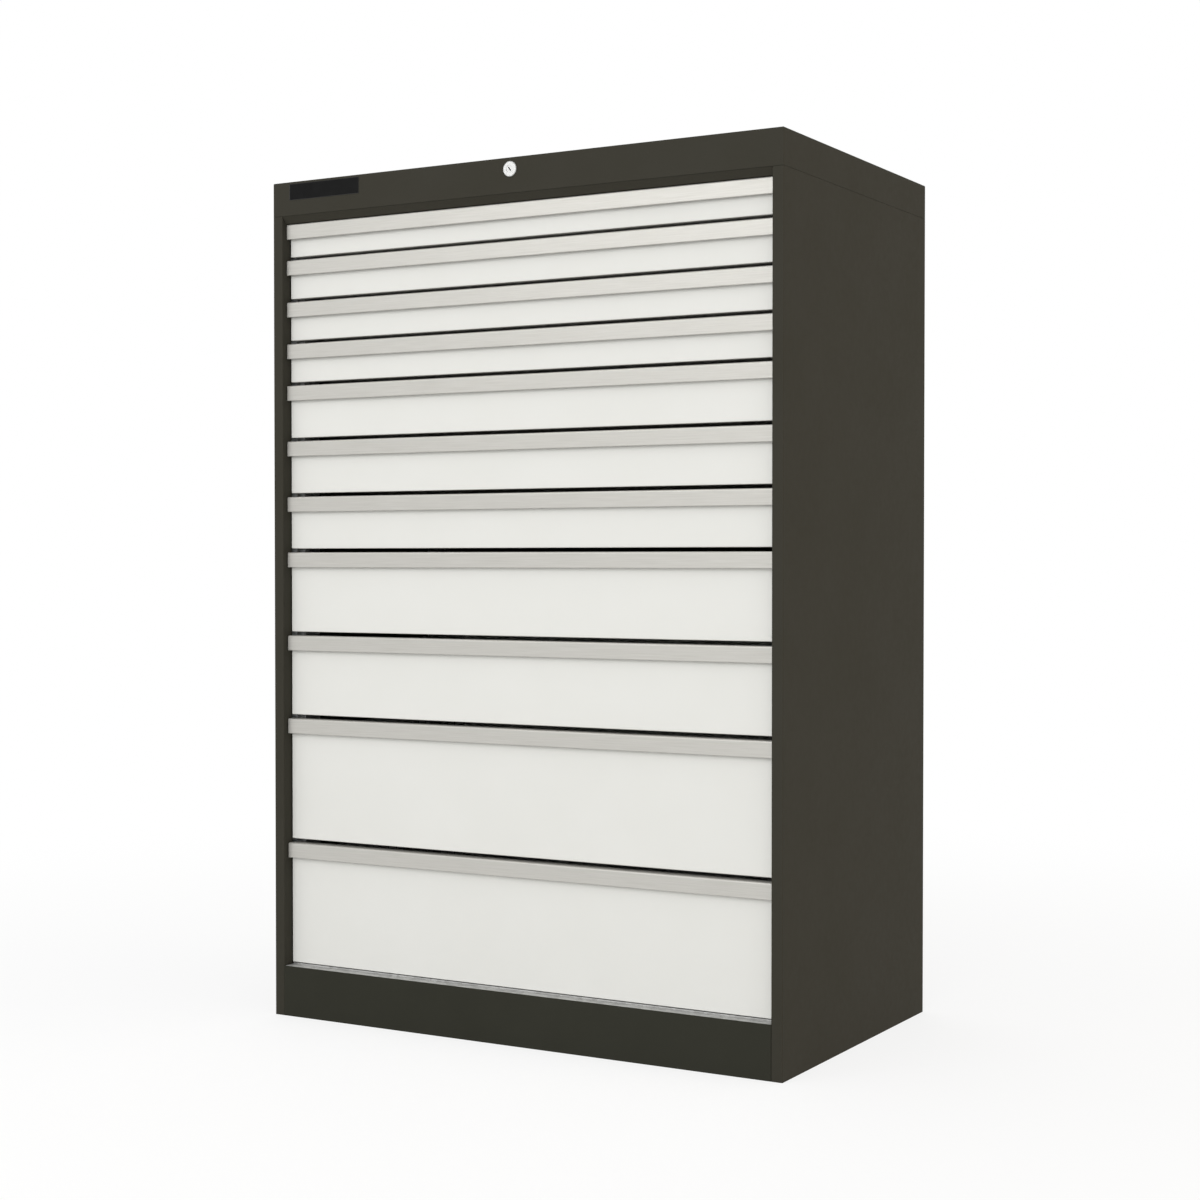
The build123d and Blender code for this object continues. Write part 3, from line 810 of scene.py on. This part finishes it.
# Floor. A studio floor of matt pale board lies under the cabinet and takes its soft shadow. Further
# out it fades into plain white, as a lit studio floor does.
floor_radius = 30
floor_seen = (0.97, 0.97, 0.97, 1)
floor_bounce = (0.55, 0.545, 0.53, 1)
floor_rough = 0.8
floor_gloss = 0.1
white_from, white_to = 0.9, 3.0
white_near = 0.78
bpy.ops.mesh.primitive_circle_add(vertices=96, radius=floor_radius, fill_type="NGON")
floor = bpy.context.object
floor.name = "studio_floor"
floor_pale, floor_tree, floor_shader = new_finish("floor_pale")
floor_shader.inputs["Roughness"].default_value = floor_rough
floor_shader.inputs["Specular IOR Level"].default_value = floor_gloss


def seen_directly(tree):
    """1 for rays from the camera, and for those that metal or glass shows, otherwise 0."""
    path = tree.nodes.new("ShaderNodeLightPath")
    first = tree.nodes.new("ShaderNodeMath")
    second = tree.nodes.new("ShaderNodeMath")
    for node in (first, second):
        node.operation = "ADD"
        node.use_clamp = True
    tree.links.new(path.outputs["Is Camera Ray"], first.inputs[0])
    tree.links.new(path.outputs["Is Glossy Ray"], first.inputs[1])
    tree.links.new(first.outputs[0], second.inputs[0])
    tree.links.new(path.outputs["Is Transmission Ray"], second.inputs[1])
    return second.outputs[0]


def multiply(tree, first, second):
    """The product of two numbers in a finish."""
    product = tree.nodes.new("ShaderNodeMath")
    product.operation = "MULTIPLY"
    tree.links.new(first, product.inputs[0])
    tree.links.new(second, product.inputs[1])
    return product.outputs[0]


floor_colour = floor_tree.nodes.new("ShaderNodeMix")
floor_colour.data_type = "RGBA"
floor_colour.inputs["A"].default_value = floor_bounce
floor_colour.inputs["B"].default_value = floor_seen
floor_tree.links.new(seen_directly(floor_tree), floor_colour.inputs["Factor"])
floor_tree.links.new(floor_colour.outputs["Result"], floor_shader.inputs["Base Color"])
floor_place = floor_tree.nodes.new("ShaderNodeTexCoord")
floor_reach = floor_tree.nodes.new("ShaderNodeVectorMath")
floor_reach.operation = "LENGTH"
floor_tree.links.new(floor_place.outputs["Object"], floor_reach.inputs[0])
floor_fade = floor_tree.nodes.new("ShaderNodeMapRange")
floor_fade.interpolation_type = "SMOOTHSTEP"
floor_fade.inputs["From Min"].default_value = white_from
floor_fade.inputs["From Max"].default_value = white_to
floor_fade.inputs["To Min"].default_value = white_near
floor_tree.links.new(floor_reach.outputs["Value"], floor_fade.inputs["Value"])
floor_glow = floor_tree.nodes.new("ShaderNodeEmission")
floor_mix = floor_tree.nodes.new("ShaderNodeMixShader")
floor_tree.links.new(
    multiply(floor_tree, floor_fade.outputs["Result"], seen_directly(floor_tree)),
    floor_mix.inputs["Fac"],
)
floor_tree.links.new(floor_shader.outputs["BSDF"], floor_mix.inputs[1])
floor_tree.links.new(floor_glow.outputs["Emission"], floor_mix.inputs[2])
floor_output = floor_tree.nodes["Material Output"]
floor_tree.links.new(floor_mix.outputs["Shader"], floor_output.inputs["Surface"])
floor.data.materials.append(floor_pale)

# Studio light. A white room shines evenly from all round. A wide softbox lights the fronts nearly
# head-on, a warmer one the right side panel and a third the back. A small one, front left, lies
# where the upper handles mirror it.
wall_light = 0.74
wall_seen = 1.0
plain_white = (1, 1, 1)
warm_white = (1, 0.82, 0.50)
light_aim = Vector((0, 0, 0.8))
softboxes = {
    "wide_softbox": ((1.4, -5.0, 1.5), (4.0, 2.6), 82, plain_white),
    "side_softbox": ((5.0, 0.8, 1.6), (3.0, 2.4), 44, warm_white),
    "back_softbox": ((-3.0, 4.2, 2.6), (4.0, 2.6), 35, plain_white),
    "handle_softbox": ((-1.2, -3.2, 2.4), (1.8, 1.0), 16, plain_white),
}
world = bpy.data.worlds.new("studio")
world.use_nodes = True
bpy.context.scene.world = world
sky_tree = world.node_tree
sky = sky_tree.nodes["Background"]
sky_strength = sky_tree.nodes.new("ShaderNodeMapRange")
sky_strength.inputs["To Min"].default_value = wall_light
sky_strength.inputs["To Max"].default_value = wall_seen
sky_tree.links.new(seen_directly(sky_tree), sky_strength.inputs["Value"])
sky_tree.links.new(sky_strength.outputs["Result"], sky.inputs["Strength"])
sky.inputs["Color"].default_value = (*plain_white, 1)
for name, (place, size, power, colour) in softboxes.items():
    lamp = bpy.data.lights.new(name, "AREA")
    lamp.shape = "RECTANGLE"
    lamp.size, lamp.size_y = size
    lamp.energy = power
    lamp.color = colour
    softbox = bpy.data.objects.new(name, lamp)
    bpy.context.scene.collection.objects.link(softbox)
    softbox.location = place
    aim = light_aim - softbox.location
    softbox.rotation_euler = aim.to_track_quat("-Z", "Y").to_euler()

# Camera. It stands 3.8 m away, 30 degrees round to the right of the front and a little above the
# middle of the cabinet, and dips by about a degree. Its colours are shown as they are.
camera_place = (1.8965, -3.2924, 0.8237)
camera_angle = 31.925
camera_turn = 29.948
camera_dip = 1.1
camera_data = bpy.data.cameras.new("camera")
camera_data.angle = radians(camera_angle)
camera = bpy.data.objects.new("camera", camera_data)
camera.location = camera_place
camera.rotation_euler = (radians(90 - camera_dip), 0, radians(camera_turn))
bpy.context.scene.collection.objects.link(camera)
bpy.context.scene.camera = camera
bpy.context.scene.view_settings.view_transform = "Standard"
